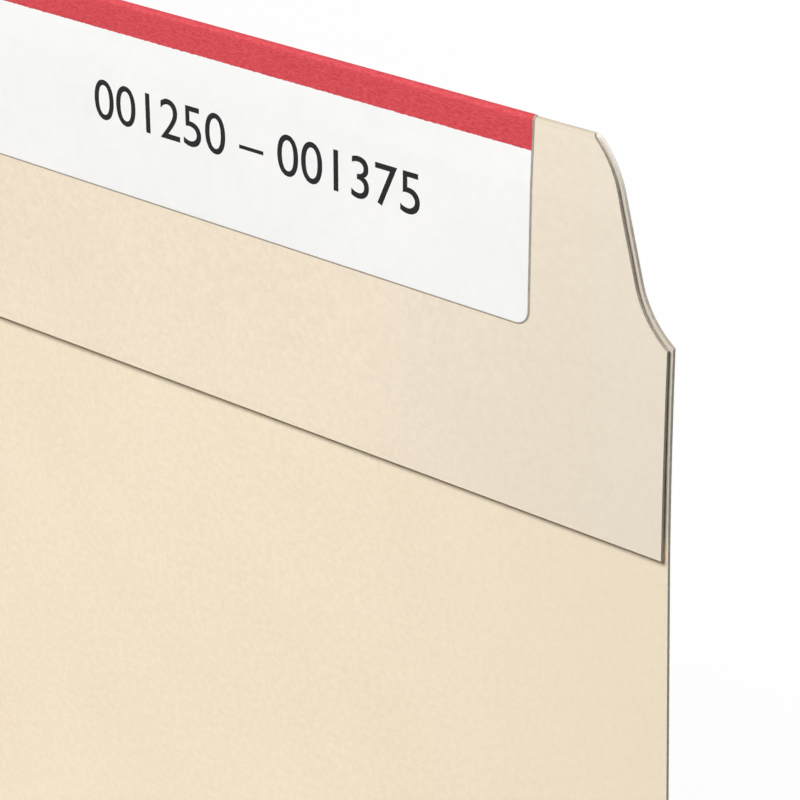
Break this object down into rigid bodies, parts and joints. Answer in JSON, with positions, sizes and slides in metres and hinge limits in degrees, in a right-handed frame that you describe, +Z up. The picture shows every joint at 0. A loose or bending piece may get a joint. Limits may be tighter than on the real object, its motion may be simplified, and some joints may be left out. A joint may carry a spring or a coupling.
{
  "type": "manila folder",
  "caption": "Letter-size board file folder, scored along its bottom, with a doubled tab on the rear leaf and a colour-barred label wrapped over the tab.",
  "frame": {"origin": "on the table, at the bottom centre of the open folder's box, under the front leaf", "axes": "+X along the folds towards the tab's side, +Y from the front leaf's free edge to the rear leaf, +Z up along the standing rear leaf"},
  "size_m": [0.2984, 0.2242, 0.2416],
  "materials": {
    "manila_board": "matt",
    "glue": "dull",
    "label_paper": "matt"
  },
  "bodies": {
    "front": {"front_leaf": "manila_board"},
    "gusset_3": {"gusset_strip_3": "manila_board"},
    "gusset_2": {"gusset_strip_2": "manila_board"},
    "gusset_1": {"gusset_strip_1": "manila_board"},
    "rear": {"back_leaf": "manila_board", "tab_fold": "manila_board", "reinforcing_flap": "manila_board", "flap_glue": "glue", "label_adhesive": "glue", "label": "label_paper"}
  },
  "joints": [
    {"name": "score_3", "type": "hinge", "parent": "front", "child": "gusset_3", "pos_m": [0, 0.09112, 0.00015], "axis": [1, 0, 0], "range_deg": [0, 15]},
    {"name": "score_2", "type": "hinge", "parent": "gusset_3", "child": "gusset_2", "pos_m": [0, 0.09747, 0.00015], "axis": [1, 0, 0], "range_deg": [0, 15]},
    {"name": "score_1", "type": "hinge", "parent": "gusset_2", "child": "gusset_1", "pos_m": [0, 0.10382, 0.00015], "axis": [1, 0, 0], "range_deg": [0, 15]},
    {"name": "bottom_fold", "type": "hinge", "parent": "gusset_1", "child": "rear", "pos_m": [0, 0.11017, 0.00015], "axis": [1, 0, 0], "range_deg": [-89.5, 45]}
  ]
}
